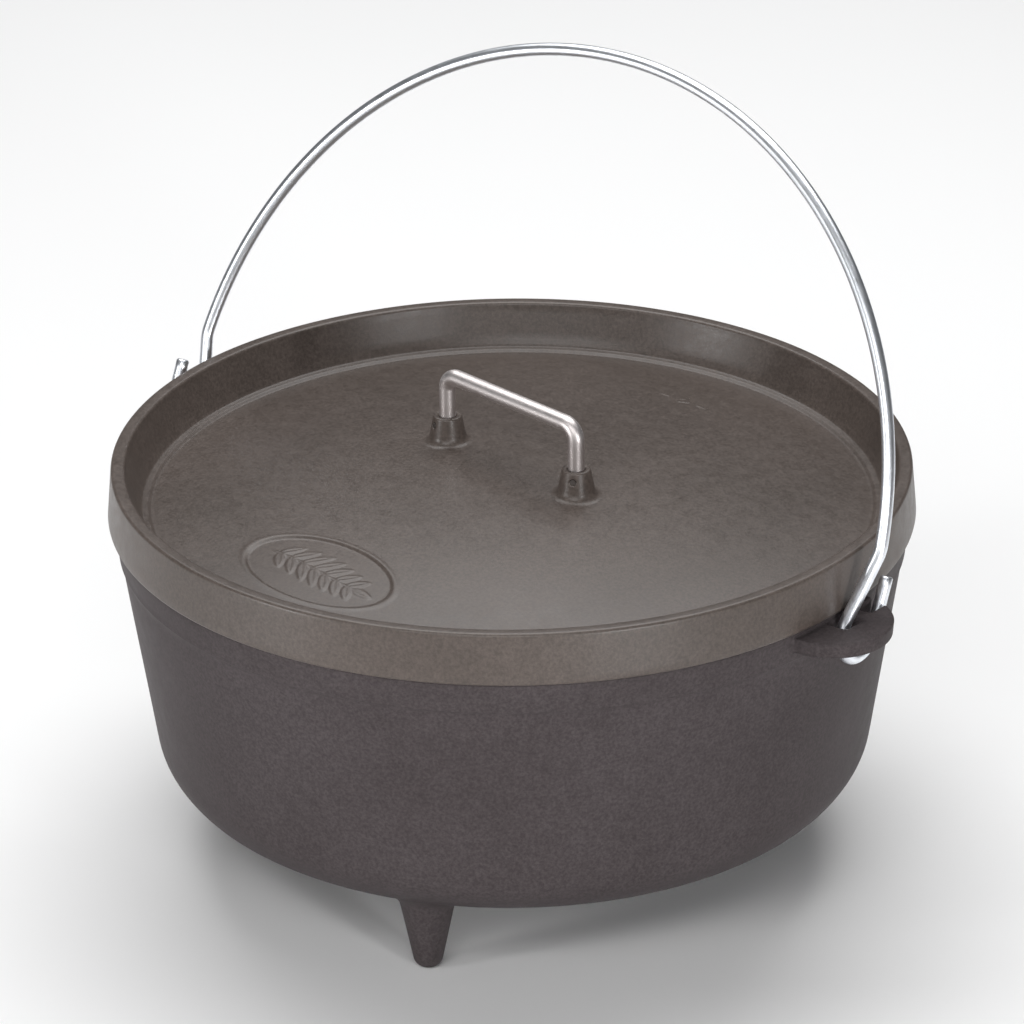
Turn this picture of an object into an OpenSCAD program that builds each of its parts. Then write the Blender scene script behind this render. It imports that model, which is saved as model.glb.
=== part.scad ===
// Camp oven: a cast pot on three legs, a cast lid with a deep coal rim, a rod handle pinned to the
// lid's two bosses, and a wire bail hooked into the pot's two ears.
// The origin is on the pot's axis at the ground and +Z is up. The ears lie along X, and the bail
// leans towards +Y.

/* [Pot] */
// Outer radius of the pot at the lid seat
pot_r = 158; // [156:0.5:158]
// Height of the lid seat above the ground
seat_z = 146; // [136:1:156]
// Height of the pot's underside above the ground
base_z = 32.5; // [28:0.5:36]
// How far the wall comes in for each millimetre of depth
wall_slope = 0.155; // [0.13:0.005:0.18]
// Thickness of the pot's wall and floor
wall_t = 5; // [4:0.5:6]
// Outer radius of the turn from wall to floor
corner_r = 25; // [20:1:34]
// Height of the band that strengthens the pot's mouth
band_h = 13.5; // [10:0.5:18]
// How far the band stands out from the wall
band_t = 0.5; // [0.3:0.1:1]

/* [Legs] */
// Distance of each leg from the pot's axis
leg_ring_r = 116; // [106:1:116]
// Direction of the first leg, counted from +X
leg_turn = -68.5; // [-80:0.5:-60]
// Radius of a leg at its root
leg_root_r = 11; // [9:0.2:11]
// Radius of a leg just above its rounded tip
leg_tip_r = 5.9; // [5.5:0.1:7]
// Radius of the flat that a leg stands on
leg_flat_r = 2; // [1.5:0.1:2.5]

/* [Ears] */
// Radius of the rounded plate that forms an ear
ear_r = 24; // [23:0.5:26]
// Distance of the centre of that plate from the pot's axis
ear_ring_r = 157; // [156:0.5:158]
// Thickness of an ear
ear_t = 6.5; // [6:0.25:7]
// Depth of an ear's top face below the lid seat
ear_drop = 2.4; // [2:0.2:4]
// Half the width of the slot that the bail hangs in
slot_half = 4.8; // [4.7:0.1:5.2]
// Distance from the slot's middle to the end of the bar that the hook goes round
bar_end = 13.5; // [12.5:0.25:14]

/* [Bail] */
// Diameter of the bail wire
bail_d = 5.2; // [4.8:0.1:5.4]
// Radius of the bail's arch
arch_r = 170.5; // [168:0.5:170.5]
// Height of the arch's centre above the pivot line
arch_rise = 17; // [17:0.5:24]
// Lean of the bail from upright, where it rests against its stops
bail_lean = 24; // [0:0.5:24]
// Distance of each hook from the pot's axis
hook_ring_r = 162.5; // [162.4:0.1:162.8]
// Radius of the hook's turn
hook_r = 10.5; // [10.3:0.1:10.8]
// Depth of the centre of the hook's turn below the pivot line
hook_drop = 0.6; // [0.6:0.1:2]
// Height of the hook's free end above the pivot line
hook_tip = 22; // [16:0.5:23]

/* [Lid] */
// Outer radius of the lid at the top of its rim
lid_r = 158.5; // [157.5:0.25:159]
// How much wider the lid is at its foot than at its top
lid_flare = 1.5; // [0:0.1:1.5]
// Height of the coal rim above the lid seat
rim_h = 21; // [17:0.5:26]
// Thickness of the coal rim at its top
rim_t = 5.8; // [4.5:0.1:7]
// Thickness of the lid's plate
plate_t = 5; // [4:0.25:6]
// Depth of the middle of the plate below the top of the rim
crown_drop = 3; // [0:0.5:6]
// Depth of the edge of the plate below the top of the rim
plate_drop = 18.2; // [17:0.2:19]
// Turn of the lid on the pot
lid_turn = -7; // [-90:1:90]

/* [Lid handle] */
// Distance between the two bosses
boss_gap = 72.4; // [60:0.2:84]
// Height of a boss above the plate
boss_h = 11.2; // [9:0.2:14]
// Radius of a boss at its foot
boss_foot_r = 7.8; // [7:0.1:9]
// Radius of a boss at its top
boss_top_r = 5.7; // [5.2:0.1:6.5]
// Diameter of the handle rod
rod_d = 6.6; // [5:0.2:7]
// Height of the middle of the rod above the top of the rim
bar_h = 24.8; // [20:0.2:36]
// Radius of the rod's bends, at the middle of the rod
rod_bend_r = 6; // [4:0.5:8]
// Diameter of the cross pins that hold the rod
pin_d = 2.4; // [2:0.1:3]
// Depth of the pins below the top of the boss
pin_drop = 3.6; // [3:0.1:5]
// Turn of the left boss's pin from square across the handle
left_pin_turn = -16; // [-45:1:45]
// Turn of the right boss's pin from square across the handle
right_pin_turn = 32; // [-45:1:45]

/* [Hidden] */
$fn = 96;
over = 1;                      // how far a cut runs past the face it opens
play = 0.05;                   // gap round a shaft or pin, on the radius
edge_r = 1.2;                  // rounding of cast edges
arc_steps = 12;                // straight steps in a drawn arc

rim_z = seat_z + rim_h;        // top of the lid's coal rim
ear_z = seat_z - ear_drop;     // top of the ears
pivot_z = ear_z - ear_t / 2;   // the bail's pivot line, half-way down the ears

wall_tilt = atan(wall_slope);
wall_top_r = pot_r - band_t;
corner_z = base_z + corner_r;
corner_ring_r = wall_top_r - (corner_r + (seat_z - corner_z) * sin(wall_tilt)) / cos(wall_tilt);
inner_corner_r = corner_r - wall_t;

leg_tip_round = leg_tip_r - leg_flat_r;
leg_flare_r = 3.5;             // how far a leg spreads where it meets the pot
leg_embed = 4;                 // how far a leg runs into the floor

ear_taper = 0.6;               // how much smaller an ear is underneath
ear_edge_r = 1;
slot_in_r = 158.7;             // the slot's end next to the wall
slot_out_r = 167.1;            // the slot's outer end
slot_corner_r = 2;
notch_in_r = 159.2;            // the hook's notch in the far end of the bar
notch_out_r = 166.2;
bar_edge_r = 3;                // rounding of the bar that the hook goes round
slot_edge_r = 1.5;             // rounding of the slot's opposite side

arch_start = 6.2;              // where the arch ends above its widest place, in degrees
shank_bend_r = 8;
kink_bend_r = 16;              // the bend between a leg of the bail and its arch
leg_spread = 13.5;             // how far the bail's legs spread, in degrees
wire_chamfer = 0.6;
joint_swell = 0.02;            // how far a joint in the wire stands out

skirt_h = 6.5;                 // the ring under the lid that keeps it in the pot's mouth
skirt_out_r = 151.3;
skirt_in_r = 146.6;
step_wall_r = 148.3;           // the coal rim's inside, where it meets the step
step_wall_drop = 13.8;
step_in_r = 146.7;
step_drop = 16.9;
plate_r = 143;                 // where the plate starts
crown_r = (pow(plate_r, 2) + pow(plate_drop - crown_drop, 2)) / (2 * (plate_drop - crown_drop));
crown_z = rim_z - crown_drop - crown_r;

boss_foot_z = crown_z + sqrt(pow(crown_r, 2) - pow(boss_gap / 2, 2));
boss_top_z = boss_foot_z + boss_h;
boss_ring_h = 1.1;             // the small fillet ring round a boss
boss_ring_w = 1;
boss_embed = 2;
rod_floor_z = boss_foot_z - 0.5;
rod_gap = 0.3;                 // space under the rod's ends
pin_z = boss_top_z - pin_drop;
pin_inset = 0.2;

iron = "#5d5856";
lid_iron = "#71685f";
zinc = "#c8cdd6";
rod_steel = "#b8b1ae";
pin_steel = "#7d7875";

// Points along an arc about (x, y), from one angle to another.
function arc(x, y, r, from, to, steps = arc_steps) =
    [for (i = [0:steps]) let (a = from + (to - from) * i / steps) [x + r * cos(a), y + r * sin(a)]];

// A right angle's edge that runs along X, cut away to leave it rounded.
// The solid lies towards -Y and -Z of the edge.
module edge_cut(length, r) {
    difference() {
        translate([0, -r, -r]) cube([length, r + over, r + over]);
        translate([-over, -r, -r]) rotate([0, 90, 0]) cylinder(r = r, h = length + 2 * over);
    }
}

// Rounds the top and bottom edges of the upright face at y, where the solid lies on the given side.
module face_edges(x, length, y, side, r) {
    for (half = [0, 1])
        translate([x, y, pivot_z + (half == 0 ? 1 : -1) * ear_t / 2])
            mirror([0, side > 0 ? 1 : 0, 0]) mirror([0, 0, half]) edge_cut(length, r);
}

module pot_outside() {
    rotate_extrude() polygon(concat(
        [[0, seat_z]],
        arc(pot_r - edge_r, seat_z - edge_r, edge_r, 90, 0, 6),
        [[pot_r - band_h * wall_slope, seat_z - band_h + band_t]],
        [[wall_top_r - band_h * wall_slope, seat_z - band_h]],
        arc(corner_ring_r, corner_z, corner_r, -wall_tilt, -90),
        [[0, base_z]]));
}

module pot_inside() {
    mouth_r = corner_ring_r + (inner_corner_r + (seat_z - corner_z) * sin(wall_tilt)) / cos(wall_tilt);
    rotate_extrude() polygon(concat(
        [[0, base_z + wall_t]],
        arc(corner_ring_r, corner_z, inner_corner_r, -90, -wall_tilt),
        [[mouth_r - edge_r * wall_slope, seat_z - edge_r]],
        [[mouth_r + edge_r, seat_z + edge_r * wall_slope]],
        [[mouth_r + edge_r, seat_z + over], [0, seat_z + over]]));
}

module leg() {
    flare_z = base_z - leg_flare_r;
    rotate_extrude() polygon(concat(
        [[0, 0]],
        arc(leg_flat_r, leg_tip_round, leg_tip_round, -90, 0, 8),
        arc(leg_root_r + leg_flare_r, flare_z, leg_flare_r, 180, 110, 5),
        [[leg_root_r + leg_flare_r, base_z + leg_embed], [0, base_z + leg_embed]]));
}

// The ear on the +X side, before its slot is cut.
module ear() {
    foot_r = ear_r - ear_taper;
    translate([ear_ring_r, 0, ear_z - ear_t]) rotate_extrude() polygon(concat(
        [[0, 0]],
        arc(foot_r - ear_edge_r, ear_edge_r, ear_edge_r, -90, 0, 6),
        arc(ear_r - ear_edge_r, ear_t - ear_edge_r, ear_edge_r, 0, 90, 6),
        [[0, ear_t]]));
}

// The slot for the bail's shank, and the notch where the hook's free end comes up past the bar.
module ear_cuts() {
    slot_len = slot_out_r - slot_in_r;
    cut_z = ear_z - ear_t - over;
    cut_h = ear_t + 2 * over;
    translate([slot_in_r, -slot_half + slot_corner_r, cut_z])
        cube([slot_len, 2 * (slot_half - slot_corner_r), cut_h]);
    translate([slot_in_r + slot_corner_r, -slot_half, cut_z])
        cube([slot_len - 2 * slot_corner_r, 2 * slot_half, cut_h]);
    for (x = [slot_in_r + slot_corner_r, slot_out_r - slot_corner_r], y = [-1, 1])
        translate([x, y * (slot_half - slot_corner_r), cut_z]) cylinder(r = slot_corner_r, h = cut_h);
    translate([notch_in_r, bar_end, cut_z]) cube([notch_out_r - notch_in_r, ear_r, cut_h]);
    for (side = [-1, 1])
        face_edges(slot_in_r + slot_corner_r, slot_len - 2 * slot_corner_r, side * slot_half, side,
            side < 0 ? slot_edge_r : bar_edge_r);
    face_edges(notch_in_r, notch_out_r - notch_in_r, bar_end, -1, bar_edge_r);
}

module pot() {
    color(iron) difference() {
        union() {
            pot_outside();
            for (turn = [0, 180]) rotate([0, 0, turn]) ear();
            for (i = [0:2]) rotate([0, 0, leg_turn + 120 * i]) translate([leg_ring_r, 0, 0]) leg();
        }
        pot_inside();
        for (turn = [0, 180]) rotate([0, 0, turn]) ear_cuts();
    }
}

module lid_shell() {
    foot_r = lid_r + lid_flare;
    plate_edge = asin(plate_r / crown_r);
    under_r = crown_r - plate_t;
    under_edge = asin(skirt_in_r / under_r);
    rotate_extrude() polygon(concat(
        arc(0, crown_z, crown_r, 90, 90 - plate_edge, 24),
        [[plate_r + 0.6, rim_z - plate_drop + 0.8]],
        [[step_in_r, rim_z - step_drop], [step_wall_r, rim_z - step_wall_drop]],
        arc(lid_r - rim_t + edge_r, rim_z - edge_r, edge_r, 180, 90, 6),
        arc(lid_r - edge_r, rim_z - edge_r, edge_r, 90, 0, 6),
        arc(foot_r - edge_r, seat_z + edge_r, edge_r, 0, -90, 6),
        [[skirt_out_r, seat_z], [skirt_out_r - 0.5, seat_z - skirt_h + 1]],
        [[skirt_out_r - 1.5, seat_z - skirt_h], [skirt_in_r + 1, seat_z - skirt_h]],
        arc(0, crown_z, under_r, 90 - under_edge, 90, 24)));
}

module boss() {
    translate([0, 0, boss_foot_z - boss_embed])
        cylinder(r1 = boss_foot_r + 0.3, r2 = boss_foot_r, h = boss_embed);
    translate([0, 0, boss_foot_z - boss_ring_h])
        cylinder(r1 = boss_foot_r + 2 * boss_ring_w, r2 = boss_foot_r + boss_ring_w, h = boss_ring_h);
    translate([0, 0, boss_foot_z])
        cylinder(r1 = boss_foot_r + boss_ring_w, r2 = boss_foot_r, h = boss_ring_h / 2);
    translate([0, 0, boss_foot_z]) cylinder(r1 = boss_foot_r, r2 = boss_top_r, h = boss_h - 0.6);
    translate([0, 0, boss_top_z - 0.6]) cylinder(r1 = boss_top_r, r2 = boss_top_r - 0.6, h = 0.6);
}

// A pin, or the hole for it, across both sides of the boss on the given side.
module cross_pin(side, d, length) {
    turn = side < 0 ? left_pin_turn : right_pin_turn;
    translate([0, 0, pin_z]) rotate([90, 0, turn]) cylinder(d = d, h = length, center = true);
}

module at_boss(side) {
    rotate([0, 0, lid_turn]) translate([side * boss_gap / 2, 0, 0]) children();
}

module lid() {
    bore_d = rod_d + 2 * play;
    color(lid_iron) difference() {
        union() {
            lid_shell();
            for (side = [-1, 1]) at_boss(side) boss();
        }
        for (side = [-1, 1]) at_boss(side) {
            translate([0, 0, rod_floor_z]) cylinder(d = bore_d, h = boss_top_z - rod_floor_z + over);
            translate([0, 0, boss_top_z - 0.5]) cylinder(d1 = bore_d, d2 = bore_d + 1.6, h = 0.8);
            cross_pin(side, pin_d + 2 * play, 2 * boss_foot_r);
        }
    }
}

module lid_handle() {
    half = boss_gap / 2;
    foot_z = rod_floor_z + rod_gap;
    bend_z = rim_z + bar_h - rod_bend_r;
    color(rod_steel) rotate([0, 0, lid_turn]) for (side = [1, -1]) rotate([0, 0, side > 0 ? 0 : 180]) {
        difference() {
            translate([half, 0, bend_z]) rotate([180, 0, 0]) cylinder(d = rod_d, h = bend_z - foot_z);
            translate([half, 0, 0]) cross_pin(side, pin_d + 2 * play, 2 * rod_d);
        }
        translate([half - rod_bend_r, 0, bend_z]) rotate([90, 0, 0])
            rotate_extrude(angle = 90) translate([rod_bend_r, 0]) circle(d = rod_d);
        translate([0, 0, rim_z + bar_h]) rotate([0, 90, 0]) cylinder(d = rod_d, h = half - rod_bend_r);
    }
}

module lid_pin(side) {
    boss_r = boss_top_r + (boss_foot_r - boss_top_r) * pin_drop / boss_h;
    color(pin_steel) at_boss(side) cross_pin(side, pin_d, 2 * (boss_r - pin_inset));
}

module left_pin() lid_pin(-1);
module right_pin() lid_pin(1);

// An arc of the bail's wire in the XZ plane, about (x, z).
module wire_arc(x, z, r, from, to) {
    translate([x, 0, z]) rotate([90, 0, 0]) rotate([0, 0, from])
        rotate_extrude(angle = to - from) translate([r, 0]) circle(d = bail_d);
}

// A ball that joins two stretches of wire.
module wire_joint(at) {
    translate([at[0], 0, at[1]]) sphere(d = bail_d + 2 * joint_swell);
}

// The hook, with the pivot line at the origin.
module hook() {
    translate([hook_ring_r, 0, -hook_drop]) {
        translate([0, hook_r, 0]) rotate([90, 0, 90]) rotate([0, 0, 180])
            rotate_extrude(angle = 180) translate([hook_r, 0]) circle(d = bail_d);
        translate([0, 2 * hook_r, 0]) cylinder(d = bail_d, h = hook_drop + hook_tip - wire_chamfer);
        translate([0, 2 * hook_r, hook_drop + hook_tip - wire_chamfer])
            cylinder(d1 = bail_d, d2 = bail_d - 2 * wire_chamfer, h = wire_chamfer);
    }
}

// One side of the bail, from its hook up to the arch, with the pivot line at the origin.
module bail_side() {
    arch_end = [arch_r * cos(arch_start), arch_rise + arch_r * sin(arch_start)];
    kink = arch_end - kink_bend_r * [cos(arch_start), sin(arch_start)];
    leg_top = kink + kink_bend_r * [cos(leg_spread), -sin(leg_spread)];
    foot_r = hook_ring_r + shank_bend_r * (1 - cos(leg_spread));
    reach = (leg_top[0] - foot_r) / sin(leg_spread);
    foot = [foot_r, leg_top[1] - reach * cos(leg_spread)];
    shank_top = foot[1] - shank_bend_r * sin(leg_spread);

    hook();
    translate([hook_ring_r, 0, shank_top]) rotate([180, 0, 0]) cylinder(d = bail_d, h = hook_drop + shank_top);
    wire_arc(hook_ring_r + shank_bend_r, shank_top, shank_bend_r, 180 - leg_spread, 180);
    translate([foot[0], 0, foot[1]]) rotate([0, leg_spread, 0]) cylinder(d = bail_d, h = reach);
    wire_arc(kink[0], kink[1], kink_bend_r, -leg_spread, arch_start);
    for (at = [[hook_ring_r, shank_top], foot, leg_top, arch_end]) wire_joint(at);
}

module bail() {
    color(zinc) translate([0, 0, pivot_z]) rotate([-bail_lean, 0, 0]) {
        for (turn = [0, 180]) rotate([0, 0, turn]) bail_side();
        wire_arc(0, arch_rise, arch_r, arch_start, 180 - arch_start);
    }
}

pot();
lid();
lid_handle();
left_pin();
right_pin();
bail();
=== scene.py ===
import math

import bpy
import numpy as np
from mathutils import Matrix, Vector, noise


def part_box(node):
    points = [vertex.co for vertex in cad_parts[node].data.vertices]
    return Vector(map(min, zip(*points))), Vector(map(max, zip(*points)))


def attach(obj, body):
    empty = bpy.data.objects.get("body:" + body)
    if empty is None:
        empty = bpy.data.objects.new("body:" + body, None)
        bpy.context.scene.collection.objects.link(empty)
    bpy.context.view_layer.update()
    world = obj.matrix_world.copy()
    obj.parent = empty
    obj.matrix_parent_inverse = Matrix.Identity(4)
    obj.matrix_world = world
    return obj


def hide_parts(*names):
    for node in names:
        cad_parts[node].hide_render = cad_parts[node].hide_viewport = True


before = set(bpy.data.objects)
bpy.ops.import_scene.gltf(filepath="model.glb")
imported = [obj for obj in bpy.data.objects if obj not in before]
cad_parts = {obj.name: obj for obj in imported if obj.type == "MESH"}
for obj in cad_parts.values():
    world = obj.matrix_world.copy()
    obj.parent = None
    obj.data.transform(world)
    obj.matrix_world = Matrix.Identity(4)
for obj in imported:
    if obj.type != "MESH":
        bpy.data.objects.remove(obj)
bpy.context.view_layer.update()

MM = 0.001

# Pot
POT_R = 158.0
SEAT_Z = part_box("pot")[1].z / MM          # the lid seat is the pot's highest face
BASE_Z = 32.5
WALL_SLOPE = 0.155
WALL_T = 5.0
CORNER_R = 25.0
BAND_H = 13.5
BAND_T = 0.5
EDGE_R = 1.2
WALL_TILT = math.atan(WALL_SLOPE)
WALL_TOP_R = POT_R - BAND_T
CORNER_Z = BASE_Z + CORNER_R
WALL_LEAN = (SEAT_Z - CORNER_Z) * math.sin(WALL_TILT)
CORNER_RING_R = WALL_TOP_R - (CORNER_R + WALL_LEAN) / math.cos(WALL_TILT)

# Ears
EAR_R = 24.0
EAR_RING_R = 157.0
EAR_T = 6.5
EAR_TOP_Z = SEAT_Z - 2.4
EAR_MID_Z = EAR_TOP_Z - EAR_T / 2
EAR_TAPER, EAR_EDGE_R = 0.6, 1.0
SLOT_IN_R, SLOT_OUT_R, SLOT_HALF = 158.7, 167.1, 4.8
NOTCH_IN_R, NOTCH_OUT_R, BAR_END = 159.2, 166.2, 13.5
SLOT_CORNER_R = 2.0
EAR_FILLET_ABOVE, EAR_FILLET_BELOW = 1.6, 3.0

# Legs
LEG_RING_R = 116.0
LEG_TURN = -68.5
LEG_ROOT_R, LEG_TIP_R, LEG_FLAT_R = 11.0, 5.9, 2.0
LEG_ROOT_Z = BASE_Z - 3.5
LEG_FILLET = 5.0

# Lid
LID_R = 158.5
LID_FLARE = 1.5
RIM_Z = SEAT_Z + 21.0
RIM_T = 5.8
PLATE_T = 5.0
CROWN_DROP, PLATE_DROP, PLATE_R = 3.0, 18.2, 143.0
CROWN_R = (PLATE_R ** 2 + (PLATE_DROP - CROWN_DROP) ** 2) / (2 * (PLATE_DROP - CROWN_DROP))
CROWN_Z = RIM_Z - CROWN_DROP - CROWN_R
LID_TURN = -7.0
SKIRT_IN_R, SKIRT_OUT_R, SKIRT_H = 146.6, 151.3, 6.5
STEP_IN_R, STEP_Z = 146.7, RIM_Z - 16.9
STEP_WALL_R, STEP_WALL_Z = 148.3, RIM_Z - 13.8
RIM_EDGE_R = 1.5

# The badge and the small mark on the lid, across the plate's radius and along it
BADGE_RING_R, BADGE_TURN = 107.2, LID_TURN - 88.6
BADGE_LONG, BADGE_SHORT = 35.2, 18.7
MARK_RING_R, MARK_TURN = 104.0, LID_TURN + 93.6
RELIEF_SPAN = (82, 127)                   # the radii between which both of them lie

# Lid handle
BOSS_GAP = 72.4
BOSS_H = 11.2
BOSS_FOOT_R, BOSS_TOP_R = 7.8, 5.7
BOSS_FOOT_Z = CROWN_Z + math.sqrt(CROWN_R ** 2 - (BOSS_GAP / 2) ** 2)
BOSS_TOP_Z = BOSS_FOOT_Z + BOSS_H
BOSS_EDGE_R, BOSS_FILLET = 0.7, 3.2
ROD_D = 6.6
BAR_H = 24.8
ROD_BEND_R = 6.0
PIN_D = 2.4
PIN_Z = BOSS_TOP_Z - 3.6
LEFT_PIN_TURN, RIGHT_PIN_TURN = -16.0, 32.0      # from square across the handle
PLAY = 0.05

# Bail
BAIL_D = 5.2
ARCH_R, ARCH_RISE, ARCH_START = 170.5, 17.0, 6.2
LEAN = 24.0
HOOK_RING_R, HOOK_R, HOOK_DROP, HOOK_TIP = 162.5, 10.5, 0.6, 22.0
SHANK_BEND_R, KINK_BEND_R, LEG_SPREAD = 8.0, 16.0, 13.5

# An ear, a leg or a boss is a closed shell that overlaps its main casting. Beside it, its skin lies
# this far under the main one's, and it ends this deep inside the metal.
SKIN_SINK = 0.04
POT_ROOT_DEPTH, LID_ROOT_DEPTH = 1.2, 1.5

# A sand casting's slow waves: their height, and their length
POT_WAVES, LID_WAVES = (0.12, 45), (0.08, 38)


# ---------------------------------------------------------------- mesh helpers

def make_object(name, verts, faces, smooth=True):
    """An object in metres from points in millimetres."""
    mesh = bpy.data.meshes.new(name)
    mesh.from_pydata((np.asarray(verts, float) * MM).tolist(), [], faces)
    mesh.polygons.foreach_set("use_smooth", [smooth] * len(mesh.polygons))
    mesh.update()
    obj = bpy.data.objects.new(name, mesh)
    bpy.context.scene.collection.objects.link(obj)
    return obj


def join(name, parts):
    """One object from several, which keeps its parts' points, faces and attributes."""
    bpy.ops.object.select_all(action="DESELECT")
    for part in parts:
        part.select_set(True)
    bpy.context.view_layer.objects.active = parts[0]
    bpy.ops.object.join()
    parts[0].name = parts[0].data.name = name
    return parts[0]


def arc(x, y, r, start, end, steps):
    """Points along an arc about (x, y), from one angle to another, in degrees."""
    turns = np.radians(np.linspace(start, end, steps + 1))
    return [(x + r * math.cos(a), y + r * math.sin(a)) for a in turns]


def resampled(points, longest):
    """The same outline, with its long straight stretches cut into shorter ones."""
    out = [points[0]]
    for (ax, ay), (bx, by) in zip(points, points[1:]):
        parts = max(1, math.ceil(math.dist((ax, ay), (bx, by)) / longest))
        for i in range(1, parts + 1):
            out.append((ax + (bx - ax) * i / parts, ay + (by - ay) * i / parts))
    return out


def lathe(name, outline, turns, shape=None):
    """A closed solid of revolution about Z, from an outline that starts and ends on the axis.

    Turns is the list of angles in degrees. Shape, if given, moves the array of points before it is used.
    The faces point outwards where the outline starts at the bottom."""
    turns = np.radians(turns)
    body = np.array(outline[1:-1])
    rings, count = len(body), len(turns)
    r, z = np.repeat(body[:, 0], count), np.repeat(body[:, 1], count)
    a = np.tile(turns, rings)
    verts = np.stack([r * np.cos(a), r * np.sin(a), z], 1)
    verts = np.vstack([verts, [0, 0, outline[0][1]], [0, 0, outline[-1][1]]])
    if shape:
        verts = shape(verts)
    first, last = rings * count, rings * count + 1
    faces = []
    for j in range(count):
        k = (j + 1) % count
        faces.append((first, k, j))
        for i in range(0, (rings - 1) * count, count):
            faces.append((i + j, i + k, i + count + k, i + count + j))
        faces.append((last, (rings - 1) * count + j, (rings - 1) * count + k))
    return make_object(name, verts, faces)


def pulled_onto(field, verts, step):
    """Points near the surface where field is zero, moved onto it along the field's slope."""
    shifts = step * 0.05 * np.eye(3)
    for _ in range(3):
        slopes = [field(*(verts + d).T) - field(*(verts - d).T) for d in shifts]
        slope = np.stack(slopes, 1) / (2 * step * 0.05)
        steepness = np.maximum((slope ** 2).sum(1), 0.25)
        move = -(field(*verts.T) / steepness)[:, None] * slope
        verts = verts + np.clip(move, -step / 2, step / 2)
    return verts


def surface_net(name, field, low, high, step):
    """A mesh of the surface where field, a signed distance in millimetres, is zero inside a box.

    Each grid cell that the surface crosses gets one point, which is then moved onto the surface, and
    each grid edge that it crosses gets a face between the four cells round that edge."""
    axes = [np.arange(a, b + step, step) for a, b in zip(low, high)]
    grid = np.meshgrid(*axes, indexing="ij")
    f = field(*grid)
    shape = np.array(f.shape)
    total = np.zeros(tuple(shape - 1) + (3,))
    hits = np.zeros(tuple(shape - 1))
    crossings = []
    for axis in range(3):
        lower, upper = [slice(None)] * 3, [slice(None)] * 3
        lower[axis], upper[axis] = slice(0, -1), slice(1, None)
        a, b = f[tuple(lower)], f[tuple(upper)]
        crossed = (a < 0) != (b < 0)
        t = np.where(crossed, a / np.where(crossed, a - b, 1), 0)
        point = np.stack([g[tuple(lower)] for g in grid], -1)
        point[..., axis] += t * step
        others = [k for k in range(3) if k != axis]
        for d1 in (0, 1):
            for d2 in (0, 1):
                part = [slice(None)] * 3
                part[others[0]] = slice(d1, shape[others[0]] - 1 + d1)
                part[others[1]] = slice(d2, shape[others[1]] - 1 + d2)
                total += point[tuple(part)] * crossed[tuple(part)][..., None]
                hits += crossed[tuple(part)]
        crossings.append((axis, others, crossed, a < 0))
    used = hits > 0
    number = np.full(used.shape, -1)
    number[used] = np.arange(used.sum())
    verts = total[used] / hits[used][:, None]
    faces = []
    for axis, others, crossed, inside in crossings:
        where = np.argwhere(crossed)
        keep = np.all([(where[:, k] > 0) & (where[:, k] < shape[k] - 1) for k in others], 0)
        where = where[keep]
        flip = inside[tuple(where.T)]
        if axis == 1:
            flip = ~flip
        corner = []
        for d1, d2 in ((1, 1), (0, 1), (0, 0), (1, 0)):
            cell = where.copy()
            cell[:, others[0]] -= d1
            cell[:, others[1]] -= d2
            corner.append(number[tuple(cell.T)])
        quads = np.stack(corner, 1)
        quads[~flip] = quads[~flip][:, ::-1]
        faces.append(quads)
    return make_object(name, pulled_onto(field, verts, step), np.vstack(faces).tolist())


def turned_copy(obj, degrees):
    """A copy of a mesh, turned about Z."""
    mesh = obj.data.copy()
    mesh.transform(Matrix.Rotation(math.radians(degrees), 4, "Z"))
    copy = bpy.data.objects.new(obj.name, mesh)
    bpy.context.scene.collection.objects.link(copy)
    return copy


def smooth_min(a, b, k):
    """The lesser of two distances, with a fillet where they are within k of each other."""
    h = np.maximum(k - np.abs(a - b), 0) / k
    return np.minimum(a, b) - h * h * k / 4


def smooth_max(a, b, k):
    return -smooth_min(-a, -b, k)


def rounded_corner(dx, dy):
    """Signed distance to a convex corner from the distances past its two sides."""
    return np.hypot(np.maximum(dx, 0), np.maximum(dy, 0)) + np.minimum(np.maximum(dx, dy), 0)


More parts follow.
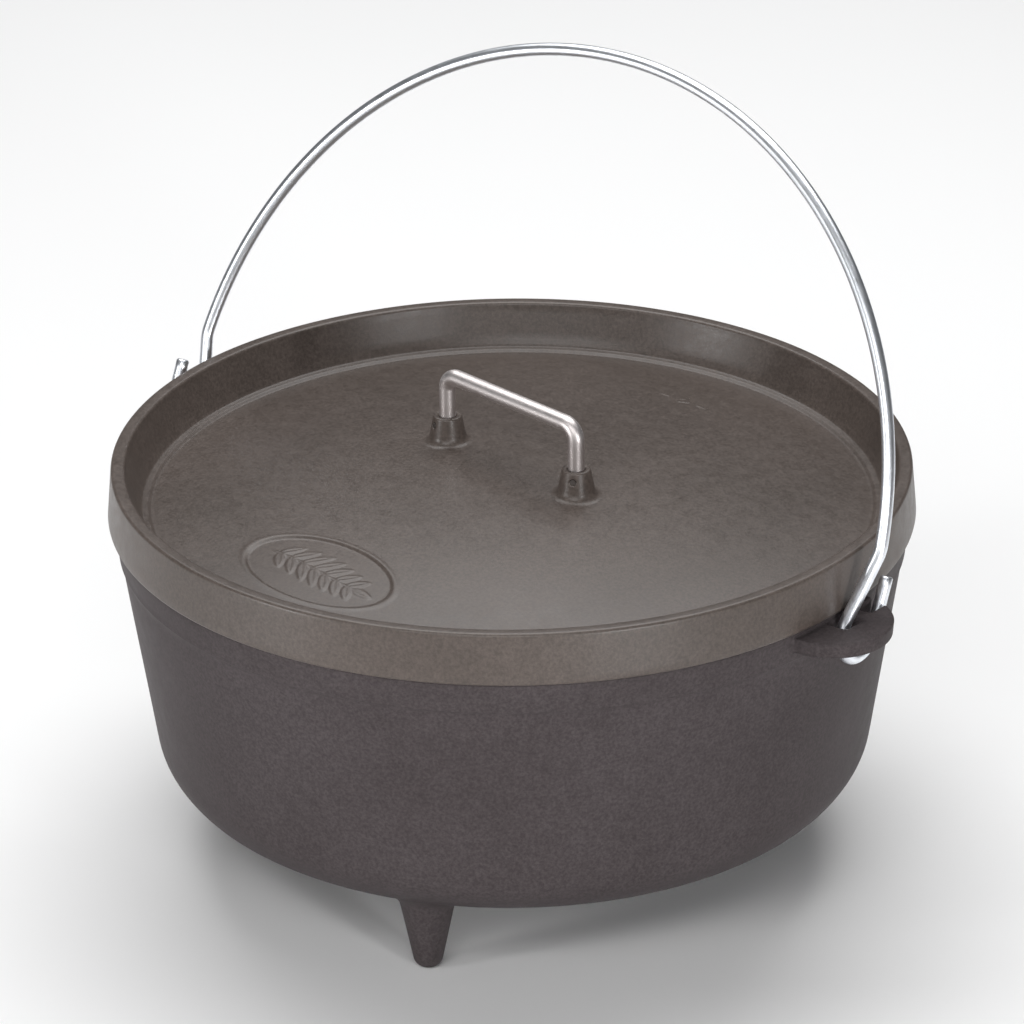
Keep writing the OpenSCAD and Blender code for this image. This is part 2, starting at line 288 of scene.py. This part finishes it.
def sweep(name, path, radius, bevel, sides=32):
    """A wire along a path, with a bevelled flat end at both ends and UVs round and along it."""
    path = [Vector(p) for p in path]
    runs = [(b - a).normalized() for a, b in zip(path, path[1:])]
    runs = [runs[0]] + [(a + b).normalized() for a, b in zip(runs, runs[1:])] + [runs[-1]]
    side = runs[0].orthogonal().normalized()
    turns = [math.tau * j / sides for j in range(sides)]
    rings, along, distance = [], [], 0.0
    for i, (p, run) in enumerate(zip(path, runs)):
        if i:
            side = runs[i - 1].rotation_difference(run) @ side
            distance += (p - path[i - 1]).length
        side = (side - side.dot(run) * run).normalized()
        up = run.cross(side)
        if i == 0:
            stations = [(p, radius - bevel), (p + run * bevel, radius)]
        elif i == len(path) - 1:
            stations = [(p - run * bevel, radius), (p, radius - bevel)]
        else:
            stations = [(p, radius)]
        for at, r in stations:
            rings.append([at + r * (math.cos(a) * side + math.sin(a) * up) for a in turns])
            along.append(distance)
    verts = [tuple(v) for ring in rings for v in ring] + [tuple(path[0]), tuple(path[-1])]
    faces, uvs = [], []
    for i in range(len(rings) - 1):
        for j in range(sides):
            k = (j + 1) % sides
            faces.append((i * sides + j, i * sides + k, (i + 1) * sides + k, (i + 1) * sides + j))
            u0, u1 = j / sides, (j + 1) / sides
            v0, v1 = along[i] * MM, along[i + 1] * MM
            uvs += [(u0, v0), (u1, v0), (u1, v1), (u0, v1)]
    first, last = (len(verts) - 2, 0), (len(verts) - 1, len(rings) - 1)
    for centre, ring in (first, last):
        for j in range(sides):
            k = (j + 1) % sides
            edge = [ring * sides + j, ring * sides + k]
            faces.append((centre, *(edge[::-1] if ring == 0 else edge)))
            uvs += [(0.5, along[ring] * MM)] * 3
    obj = make_object(name, verts, faces)
    layer = obj.data.uv_layers.new(name="along")
    layer.data.foreach_set("uv", np.array(uvs).ravel())
    return obj


def cast_waviness(verts, depth, scale):
    """The points, moved in and out by slow, shallow waves, as a sand casting's skin has."""
    out = np.array(verts)
    for i, (x, y, z) in enumerate(verts):
        wave = noise.noise(Vector((x, y, z)) / scale) * depth
        r = math.hypot(x, y) or 1.0
        out[i] += (x / r * wave, y / r * wave, 0)
    return out


# ---------------------------------------------------------------- pot

def wall_r(z):
    """Outer radius of the pot's wall under its band."""
    return WALL_TOP_R - (SEAT_Z - z) * WALL_SLOPE


def pot_outside_distance(x, y, z):
    """Signed distance to the pot's outer skin, without its ears and legs."""
    r = np.hypot(x, y)
    band = np.clip((z - (SEAT_Z - BAND_H)) / 1.2 + 0.5, 0, 1)
    wall = (r - wall_r(z) - BAND_T * band) * math.cos(WALL_TILT)
    corner = np.hypot(np.maximum(r - CORNER_RING_R, 0), np.maximum(CORNER_Z - z, 0)) - CORNER_R
    return np.where(z < CORNER_Z - CORNER_R * math.sin(WALL_TILT), corner, wall)


def pot_bowl():
    """The pot's bowl, with a small bead along the foot of its band."""
    inner_r = CORNER_R - WALL_T
    mouth_r = CORNER_RING_R + (inner_r + WALL_LEAN) / math.cos(WALL_TILT)
    outline = [(0, BASE_Z)]
    outline += arc(CORNER_RING_R, CORNER_Z, CORNER_R, -90, -math.degrees(WALL_TILT), 20)
    for up, share in ((-0.3, 0), (-0.1, 0.25), (0.15, 1.15), (0.6, 1.35), (1.3, 1.0)):
        z = SEAT_Z - BAND_H + up
        outline.append((wall_r(z) + BAND_T * share, z))
    outline += arc(POT_R - EDGE_R, SEAT_Z - EDGE_R, EDGE_R, 0, 90, 5)
    outline += arc(mouth_r + EDGE_R, SEAT_Z - EDGE_R, EDGE_R, 90, 180, 5)
    outline += arc(CORNER_RING_R, CORNER_Z, inner_r, -math.degrees(WALL_TILT), -90, 16)
    outline += [(0, BASE_Z + WALL_T)]
    turns = np.arange(0, 360, 1.0)
    return lathe("pot_bowl", resampled(outline, 3.0), turns, lambda v: cast_waviness(v, *POT_WAVES))


def ear_field(x, y, z):
    """The +X ear with its slot and notch, and its fillets into the wall. Its shell is closed inside the
    wall, just past the fillets at both sides and below, and just under the lid's seat.

    The edges that the hook goes round, on the bar between the slot and the notch, are the softest."""
    wall = pot_outside_distance(x, y, z)
    from_middle = np.hypot(x - EAR_RING_R, y)
    reach = EAR_R - EAR_TAPER * (EAR_TOP_Z - z) / EAR_T - EAR_EDGE_R
    up = np.abs(z - EAR_MID_Z) - EAR_T / 2 + EAR_EDGE_R
    plate = rounded_corner(from_middle - reach, up) - EAR_EDGE_R
    fillet = np.where(z > EAR_MID_Z, EAR_FILLET_ABOVE, EAR_FILLET_BELOW)
    body = smooth_min(wall, plate, fillet) + SKIN_SINK
    slot_x = np.abs(x - (SLOT_IN_R + SLOT_OUT_R) / 2) - (SLOT_OUT_R - SLOT_IN_R) / 2 + SLOT_CORNER_R
    slot_y = np.abs(y) - SLOT_HALF + SLOT_CORNER_R
    slot = rounded_corner(slot_x, slot_y) - SLOT_CORNER_R
    notch_x = np.abs(x - (NOTCH_IN_R + NOTCH_OUT_R) / 2) - (NOTCH_OUT_R - NOTCH_IN_R) / 2
    notch = np.maximum(notch_x, BAR_END - y)
    body = smooth_max(body, -slot, 1.8 + 1.7 * np.clip(y / SLOT_HALF, 0, 1))
    body = smooth_max(body, -notch, 1.2 + 2.3 * np.clip(1 - np.abs(x - HOOK_RING_R) / 4, 0, 1))
    body = np.maximum(body, z - (SEAT_Z - 0.5))
    body = np.maximum(body, from_middle - (EAR_R + 9))
    body = np.maximum(body, EAR_MID_Z - 12 - z)
    return np.maximum(body, -(wall + POT_ROOT_DEPTH))


def pot_ear():
    half = EAR_R + 12
    low, high = (148, -half, EAR_MID_Z - 14), (183, half, SEAT_Z + 1)
    return surface_net("pot_ear", ear_field, low, high, 0.45)


def leg_field(x, y, z):
    """A leg on the +X side, with its round tip and its fillet into the pot's floor. Its shell is closed
    inside the floor, and just past the fillet all round."""
    floor = pot_outside_distance(x, y, z)
    from_axis = np.hypot(x - LEG_RING_R, y)
    tip_r = LEG_TIP_R - LEG_FLAT_R
    radius = LEG_TIP_R + (LEG_ROOT_R - LEG_TIP_R) * (z - tip_r) / (LEG_ROOT_Z - tip_r)
    cone = rounded_corner(from_axis - (radius - tip_r), tip_r - z) - tip_r
    body = smooth_min(floor, cone, LEG_FILLET) + SKIN_SINK
    body = np.maximum(body, from_axis - (LEG_ROOT_R + 5.5))
    return np.maximum(body, -(floor + POT_ROOT_DEPTH))


def pot_leg():
    half = LEG_ROOT_R + 7
    low, high = (LEG_RING_R - half, -half, -1), (LEG_RING_R + half, half, 40)
    return surface_net("pot_leg", leg_field, low, high, 0.6)


def pot_casting():
    ear, leg = pot_ear(), pot_leg()
    parts = [pot_bowl(), ear, turned_copy(ear, 180)]
    legs = [turned_copy(leg, LEG_TURN + 120 * i) for i in range(3)]
    bpy.data.objects.remove(leg)
    return join("pot_casting", parts + legs)


# ---------------------------------------------------------------- lid

def plate_top_z(r):
    return CROWN_Z + np.sqrt(CROWN_R ** 2 - r * r)


def leaf_height(u, v, at, turn, length, width):
    """Height, from 0 to 1, of a pointed leaf with a sunk midrib. It starts at a point and runs one way."""
    a = math.radians(turn)
    along = ((u - at[0]) * math.cos(a) + (v - at[1]) * math.sin(a)) / length
    across = (-(u - at[0]) * math.sin(a) + (v - at[1]) * math.cos(a)) / width
    t = np.clip(along, 0, 1)
    half = np.sqrt(np.sin(np.pi * t ** 0.85).clip(0, 1)) * 0.5 * (1 - 0.25 * t)
    inside = np.clip((half - np.abs(across)) / 0.16, 0, 1) * ((along > 0) & (along < 1))
    rib = np.exp(-(across / 0.07) ** 2) * 0.45
    return inside * (1 - rib)


def local(x, y, ring_r, turn):
    """Coordinates on the plate: across the radius and along it, from a point at that radius and angle."""
    a = math.radians(turn)
    return -x * math.sin(a) + y * math.cos(a), x * math.cos(a) + y * math.sin(a) - ring_r


def stem_at(u):
    """How far a sprig's wavy stem is from the badge's long axis."""
    return 1.6 * np.sin(u / 15)


def badge_height(x, y):
    """The oval badge: a shallow recess with a fine raised rim, and in it a sprig of seven pairs of
    leaves and one at its tip."""
    u, v = local(x, y, BADGE_RING_R, BADGE_TURN)
    q = np.hypot(u / BADGE_LONG, v / BADGE_SHORT)
    edge = (q - 1) * BADGE_SHORT
    recess = -0.75 * np.clip(0.5 - edge / 0.9, 0, 1)
    rim = 0.22 * np.exp(-((edge - 1.1) / 0.7) ** 2)
    sprig = np.exp(-((v - stem_at(u)) / 0.55) ** 2) * np.clip((27 - np.abs(u)) / 2, 0, 1)
    for i in range(7):
        foot = -23 + 6.6 * i
        length = 13.5 - 1.1 * abs(i - 2.5)
        for turn in (-48, 48):
            leaf = leaf_height(u, v, (foot, stem_at(foot)), turn, length, 5.6)
            sprig = np.maximum(sprig, leaf)
    sprig = np.maximum(sprig, leaf_height(u, v, (20, stem_at(20)), 2, 10.5, 5.4))
    within = np.clip((-1.6 - edge) / 0.8, 0, 1)
    return recess + rim + 0.42 * sprig * within


def mark_height(x, y):
    """A small plain ornament, which stands just proud of the plate: a lozenge between two dashes."""
    u, v = local(x, y, MARK_RING_R, MARK_TURN)
    lozenge = np.clip((3.6 - np.abs(u) * 0.8 - np.abs(v)) / 0.7, 0, 1)
    middle = np.clip((1.7 - np.abs(u) * 0.8 - np.abs(v)) / 0.6, 0, 1)
    dashes = np.clip((2.8 - np.abs(np.abs(u) - 9.5)) / 0.6, 0, 1)
    dashes = dashes * np.clip((0.9 - np.abs(v)) / 0.5, 0, 1)
    return 0.3 * np.maximum(lozenge - 0.8 * middle, dashes)


def with_relief(verts):
    """The points, with those on the plate's top face raised and sunk."""
    x, y, z = verts.T
    r = np.hypot(x, y)
    top_z = plate_top_z(np.minimum(r, PLATE_R))
    on_top = (r < PLATE_R - 4) & (z > top_z - 1)
    verts[:, 2] += np.where(on_top, badge_height(x, y) + mark_height(x, y), 0)
    return verts


def uneven_steps(start, end, fine_spans, fine, coarse):
    """Values from start to end, closely spaced within the given spans."""
    values, at = [start], start
    while at < end:
        step = fine if any(a - coarse <= at <= b for a, b in fine_spans) else coarse
        at += step
        values.append(min(at, end))
    return values


def lid_shell():
    """The lid's plate, rim and skirt, with finer faces where the badge and the mark are."""
    foot_r = LID_R + LID_FLARE
    edge_z = RIM_Z - PLATE_DROP
    skirt_z = SEAT_Z - SKIRT_H
    under_r = CROWN_R - PLATE_T
    under_edge = math.asin(SKIRT_IN_R / under_r)
    radii = uneven_steps(0.0, PLATE_R - 1.2, [RELIEF_SPAN], 0.45, 3.0)
    outline = [(r, plate_top_z(r)) for r in radii]
    outline += [(PLATE_R - 0.4, edge_z + 0.08), (PLATE_R + 0.3, edge_z + 0.35)]
    outline += [(PLATE_R + 0.9, edge_z + 0.95), (PLATE_R + 1.6, edge_z + 1.2)]
    outline += [(STEP_IN_R - 0.5, STEP_Z - 0.12), (STEP_IN_R, STEP_Z + 0.25)]
    outline += [(STEP_IN_R + 0.5, STEP_Z + 1.1), (STEP_WALL_R - 0.35, STEP_WALL_Z - 0.6)]
    outline += [(STEP_WALL_R, STEP_WALL_Z)]
    outline += arc(LID_R - RIM_T + RIM_EDGE_R, RIM_Z - RIM_EDGE_R, RIM_EDGE_R, 180, 90, 6)
    outline += arc(LID_R - RIM_EDGE_R, RIM_Z - RIM_EDGE_R, RIM_EDGE_R, 90, 0, 6)
    outline += arc(foot_r - EDGE_R, SEAT_Z + EDGE_R, EDGE_R, 0, -90, 5)
    outline += [(SKIRT_OUT_R + 0.4, SEAT_Z), (SKIRT_OUT_R, SEAT_Z - 0.4)]
    outline += [(SKIRT_OUT_R - 0.5, skirt_z + 1.2), (SKIRT_OUT_R - 0.9, skirt_z + 0.4)]
    outline += [(SKIRT_OUT_R - 1.6, skirt_z), (SKIRT_IN_R + 1, skirt_z), (SKIRT_IN_R + 0.3, skirt_z + 0.3)]
    for a in np.linspace(under_edge, 0, 40):
        outline.append((under_r * math.sin(a), CROWN_Z + under_r * math.cos(a)))
    spans = [(t % 360 - half, t % 360 + half) for t, half in ((BADGE_TURN, 21), (MARK_TURN, 9))]
    turns = uneven_steps(0.0, 360.0, spans, 0.25, 1.2)[:-1]

    def shaped(verts):
        return with_relief(cast_waviness(verts, *LID_WAVES))

    shell = lathe("lid_shell", resampled(outline, 3.0), turns, shaped)
    shell.data.flip_normals()             # this outline starts at the top
    return shell


def boss_field(x, y, z, pin_turn):
    """A boss on the +X side, with its fillet into the plate, the rod's socket and the cross pin's hole.
    Its shell is closed inside the plate, and just past the fillet all round."""
    plate = np.sqrt(x * x + y * y + (z - CROWN_Z) ** 2) - CROWN_R
    from_axis = np.hypot(x - BOSS_GAP / 2, y)
    radius = BOSS_FOOT_R + (BOSS_TOP_R - BOSS_FOOT_R) * (z - BOSS_FOOT_Z) / BOSS_H
    side, up = from_axis - radius + BOSS_EDGE_R, z - BOSS_TOP_Z + BOSS_EDGE_R
    cone = rounded_corner(side, up) - BOSS_EDGE_R
    body = smooth_min(plate, cone, BOSS_FILLET) + SKIN_SINK
    chamfer = np.maximum(z - (BOSS_TOP_Z - 0.5), 0) * 1.6
    bore = from_axis - (ROD_D / 2 + PLAY) - chamfer
    socket = np.maximum(bore, BOSS_FOOT_Z - 0.5 - z)
    a = math.radians(pin_turn)
    from_pin = np.hypot((x - BOSS_GAP / 2) * math.cos(a) + y * math.sin(a), z - PIN_Z)
    body = smooth_max(body, -socket, 0.3)
    body = smooth_max(body, PIN_D / 2 + PLAY - from_pin, 0.5)
    body = np.maximum(body, from_axis - (BOSS_FOOT_R + 4))
    return np.maximum(body, -(plate + LID_ROOT_DEPTH))


def lid_boss(turn, pin_turn):
    """A boss, made on the +X side and turned to its place."""
    half = BOSS_FOOT_R + 5
    low = (BOSS_GAP / 2 - half, -half, BOSS_FOOT_Z - 3.5)
    high = (BOSS_GAP / 2 + half, half, BOSS_TOP_Z + 1)
    boss = surface_net("lid_boss", lambda *at: boss_field(*at, pin_turn), low, high, 0.3)
    boss.data.transform(Matrix.Rotation(math.radians(LID_TURN + turn), 4, "Z"))
    return boss


def lid_casting():
    bosses = [lid_boss(0, RIGHT_PIN_TURN), lid_boss(180, LEFT_PIN_TURN)]
    return join("lid_casting", [lid_shell()] + bosses)


# ---------------------------------------------------------------- steel rod and wire

def handle_rod():
    """The bent rod whose two ends stand in the bosses."""
    half = BOSS_GAP / 2
    foot_z, top_z = BOSS_FOOT_Z - 0.2, RIM_Z + BAR_H
    bend_z = top_z - ROD_BEND_R
    side = [(half, z) for z in np.linspace(foot_z, bend_z, 8)][:-1]
    side += arc(half - ROD_BEND_R, bend_z, ROD_BEND_R, 0, 90, 14)
    line = side + [(-x, z) for x, z in reversed(side)]
    turn = Matrix.Rotation(math.radians(LID_TURN), 3, "Z")
    path = [turn @ Vector((x, 0, z)) for x, z in line]
    return sweep("handle_rod", path, ROD_D / 2, bevel=0.3)


def bail_side():
    """The middle line of the bail's +X side, from its hook's free end to the arch, about the pivot line."""
    bottom = [(HOOK_RING_R, 2 * HOOK_R, z) for z in np.linspace(HOOK_TIP, -HOOK_DROP, 8)][:-1]
    bottom += [(HOOK_RING_R, y, z) for y, z in arc(HOOK_R, -HOOK_DROP, HOOK_R, 0, -180, 30)]
    start = math.radians(ARCH_START)
    spread = math.radians(LEG_SPREAD)
    arch_end = Vector((ARCH_R * math.cos(start), ARCH_RISE + ARCH_R * math.sin(start)))
    kink = arch_end - KINK_BEND_R * Vector((math.cos(start), math.sin(start)))
    leg_top = kink + KINK_BEND_R * Vector((math.cos(spread), -math.sin(spread)))
    foot_r = HOOK_RING_R + SHANK_BEND_R * (1 - math.cos(spread))
    foot_z = leg_top.y - (leg_top.x - foot_r) / math.tan(spread)
    shank_top = foot_z - SHANK_BEND_R * math.sin(spread)
    bow = arc(HOOK_RING_R + SHANK_BEND_R, shank_top, SHANK_BEND_R, 180, 180 - LEG_SPREAD, 6)
    bow += arc(kink.x, kink.y, KINK_BEND_R, -LEG_SPREAD, ARCH_START, 8)
    return bottom + [(x, 0.0, z) for x, z in bow]


def bail_wire():
    """The bail from end to end, leaning as at rest. Its two sides are alike, half a turn apart."""
    side = bail_side()
    arch = arc(0, ARCH_RISE, ARCH_R, ARCH_START, 180 - ARCH_START, 120)[1:-1]
    line = side + [(x, 0.0, z) for x, z in arch] + [(-x, -y, z) for x, y, z in reversed(side)]
    lean = Matrix.Translation((0, 0, EAR_MID_Z)) @ Matrix.Rotation(math.radians(-LEAN), 4, "X")
    return sweep("bail_wire", [lean @ Vector(p) for p in line], BAIL_D / 2, bevel=0.6)


# ---------------------------------------------------------------- materials

class Nodes:
    """A short way to write a node material."""

    def __init__(self, name):
        self.material = bpy.data.materials.new(name)
        self.material.use_nodes = True
        self.tree = self.material.node_tree
        self.shader = self.tree.nodes["Principled BSDF"]

    def add(self, kind, inputs=(), **settings):
        node = self.tree.nodes.new(kind)
        for key, value in settings.items():
            setattr(node, key, value)
        for key, value in dict(inputs).items():
            self.feed(node.inputs[key], value)
        return node

    def feed(self, socket, value):
        if isinstance(value, bpy.types.NodeSocket):
            self.tree.links.new(value, socket)
        else:
            socket.default_value = value

    def noise(self, vector, scale, detail=2.0, roughness=0.5):
        inputs = {"Vector": vector, "Scale": scale, "Detail": detail, "Roughness": roughness}
        return self.add("ShaderNodeTexNoise", inputs).outputs["Fac"]

    def remap(self, value, low, high, to_low, to_high):
        inputs = {"Value": value, 1: low, 2: high, 3: to_low, 4: to_high}
        return self.add("ShaderNodeMapRange", inputs).outputs["Result"]

    def maths(self, operation, a, b):
        return self.add("ShaderNodeMath", {0: a, 1: b}, operation=operation).outputs[0]

    def mix(self, factor, a, b):
        node = self.add("ShaderNodeMix", data_type="RGBA")
        for index, value in ((0, factor), (6, a), (7, b)):
            self.feed(node.inputs[index], value)
        return node.outputs[2]

    def bump(self, height, strength, distance, normal=None):
        inputs = {"Height": height, "Strength": strength, "Distance": distance}
        if normal:
            inputs["Normal"] = normal
        return self.add("ShaderNodeBump", inputs).outputs["Normal"]


def cast_material(name, dark, light, rough, shine):
    """A fine-grained satin casting, with slow changes of tone, mottling and grain."""
    n = Nodes(name)
    place = n.add("ShaderNodeTexCoord").outputs["Object"]
    slow = n.noise(place, 14.0, 3.0)
    mottle = n.noise(place, 170.0, 4.0, 0.6)
    grain = n.noise(place, 750.0, 4.0, 0.7)
    tone = n.maths("ADD", n.remap(slow, 0.35, 0.65, 0.0, 0.55), n.remap(mottle, 0.3, 0.7, 0.0, 0.45))
    colour = n.mix(tone, (*dark, 1), (*light, 1))
    speck = n.remap(grain, 0.36, 0.64, 0.78, 1.20)
    shade = n.add("ShaderNodeVectorMath", {0: colour}, operation="SCALE")
    n.feed(shade.inputs["Scale"], speck)
    n.feed(n.shader.inputs["Base Color"], shade.outputs[0])
    roughness = n.maths("ADD", n.remap(mottle, 0.3, 0.7, rough - 0.05, rough + 0.05),
                        n.remap(grain, 0.3, 0.7, -0.05, 0.05))
    n.feed(n.shader.inputs["Roughness"], roughness)
    n.shader.inputs["Specular IOR Level"].default_value = shine
    normal = n.bump(mottle, 0.25, 0.00012)
    normal = n.bump(grain, 0.45, 0.00010, normal)
    n.feed(n.shader.inputs["Normal"], normal)
    return n.material


def steel_material(name, colour, rough, streak):
    """Drawn steel, with fine streaks that run along it. Streak is how strongly they stand out."""
    n = Nodes(name)
    place = n.add("ShaderNodeTexCoord")
    stretched = {"Vector": place.outputs["UV"], "Scale": (40.0, 30.0, 1.0)}
    stretch = n.add("ShaderNodeMapping", stretched)
    lines = n.noise(stretch.outputs[0], 1.0, 3.0, 0.6)
    spots = n.noise(place.outputs["Object"], 260.0, 3.0, 0.6)
    wear = n.maths("ADD", lines, spots)
    shade = n.add("ShaderNodeVectorMath", {0: colour}, operation="SCALE")
    n.feed(shade.inputs["Scale"], n.remap(wear, 0.7, 1.3, 0.86, 1.06))
    n.feed(n.shader.inputs["Base Color"], shade.outputs[0])
    n.feed(n.shader.inputs["Roughness"], n.remap(wear, 0.7, 1.3, rough + 0.08, rough - 0.05))
    n.shader.inputs["Metallic"].default_value = 1.0
    n.feed(n.shader.inputs["Normal"], n.bump(lines, streak, 0.00004))
    return n.material


def floor_material():
    n = Nodes("floor")
    place = n.add("ShaderNodeTexCoord").outputs["Object"]
    tone = n.mix(n.noise(place, 3.0), (0.9, 0.9, 0.9, 1), (0.92, 0.92, 0.92, 1))
    n.feed(n.shader.inputs["Base Color"], tone)
    n.shader.inputs["Roughness"].default_value = 0.7
    return n.material


def dress(obj, material, body):
    """Gives a new piece its material and the body it moves with."""
    obj.data.materials.clear()
    obj.data.materials.append(material)
    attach(obj, body)
    return obj


# ---------------------------------------------------------------- stage

# The photo's camera, from a fit to the lid's circles: where it stands and how it is turned, in degrees
VIEW_AZIMUTH, VIEW_ELEVATION = 38.66, 24.85
CAMERA_PITCH, CAMERA_ROLL = 25.292, -0.498
CAMERA_DISTANCE = 2.790                   # metres, from the middle of the lid's rim
CAMERA_LENS = 248.14

# Each light's azimuth and elevation in degrees, distance, width and height in metres, and power in watts
LIGHTS = {
    "overhead": (180, 68, 1.7, (1.8, 1.4), 33),
    "front_fill": (-12, 36, 2.2, (1.5, 1.0), 18),
    "key_left": (-63, 7, 1.6, (0.2, 0.5), 9),
    "key_right": (31, 7, 1.6, (0.2, 0.5), 10),
}
LIGHT_AIM = Vector((0, 0, 0.1))
WORLD_COLOUR, WORLD_STRENGTH = (0.95, 0.97, 1.0, 1), 0.08
FLOOR_HALF = 6.0                          # metres


def look_from(azimuth, elevation):
    """The direction to a place at that azimuth, from -Y towards +X, and that elevation."""
    a, e = math.radians(azimuth), math.radians(elevation)
    return Vector((math.sin(a) * math.cos(e), -math.cos(a) * math.cos(e), math.sin(e)))


def camera():
    data = bpy.data.cameras.new("camera")
    data.sensor_width = 36.0
    data.lens = CAMERA_LENS
    cam = bpy.data.objects.new("camera", data)
    bpy.context.scene.collection.objects.link(cam)
    away = CAMERA_DISTANCE * look_from(VIEW_AZIMUTH, VIEW_ELEVATION)
    turn = Matrix.Rotation(math.radians(VIEW_AZIMUTH), 4, "Z")
    tilt = Matrix.Rotation(math.radians(90 - CAMERA_PITCH), 4, "X")
    roll = Matrix.Rotation(math.radians(CAMERA_ROLL), 4, "Z")
    place = Matrix.Translation(Vector((0, 0, RIM_Z * MM)) + away)
    cam.matrix_world = place @ turn @ tilt @ roll
    data.clip_end = 50.0
    bpy.context.scene.camera = cam


def soft_light(name, azimuth, elevation, distance, size, power):
    """A white area light that faces the oven. Azimuth is counted from the camera's, towards its right."""
    data = bpy.data.lights.new(name, "AREA")
    data.shape = "RECTANGLE"
    data.size, data.size_y = size
    data.energy = power
    light = bpy.data.objects.new(name, data)
    bpy.context.scene.collection.objects.link(light)
    back = look_from(VIEW_AZIMUTH + azimuth, elevation)
    light.location = LIGHT_AIM + back * distance
    light.rotation_euler = back.to_track_quat("Z", "Y").to_euler()


def stage():
    corners = np.array([(-1, -1, 0), (1, -1, 0), (1, 1, 0), (-1, 1, 0)]) * FLOOR_HALF / MM
    floor = make_object("floor", corners, [(0, 1, 2, 3)], smooth=False)
    floor.data.materials.append(floor_material())
    world = bpy.data.worlds.new("world")
    bpy.context.scene.world = world
    world.use_nodes = True
    background = world.node_tree.nodes["Background"]
    background.inputs["Color"].default_value = WORLD_COLOUR
    background.inputs["Strength"].default_value = WORLD_STRENGTH
    for name, settings in LIGHTS.items():
        soft_light(name, *settings)


# ---------------------------------------------------------------- the oven

def build():
    iron = cast_material("pot_iron", (0.053, 0.044, 0.045), (0.073, 0.062, 0.064), rough=0.52, shine=0.07)
    pot = dress(pot_casting(), iron, "pot")
    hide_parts("pot")
    iron = cast_material("lid_iron", (0.072, 0.057, 0.049), (0.097, 0.077, 0.067), rough=0.38, shine=0.45)
    lid = dress(lid_casting(), iron, "lid")
    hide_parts("lid")
    steel = steel_material("handle_steel", (0.72, 0.67, 0.66), rough=0.44, streak=0.12)
    rod = dress(handle_rod(), steel, "lid")
    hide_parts("lid_handle")
    steel = steel_material("bail_wire", (0.92, 0.95, 1.0), rough=0.33, streak=0.02)
    wire = dress(bail_wire(), steel, "bail")
    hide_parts("bail")
    steel = steel_material("pin_steel", (0.20, 0.18, 0.17), rough=0.5, streak=0.2)
    for name in ("left_pin", "right_pin"):
        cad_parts[name].data.materials.clear()
        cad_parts[name].data.materials.append(steel)


camera()
stage()
build()
bpy.context.scene.view_settings.view_transform = "Standard"
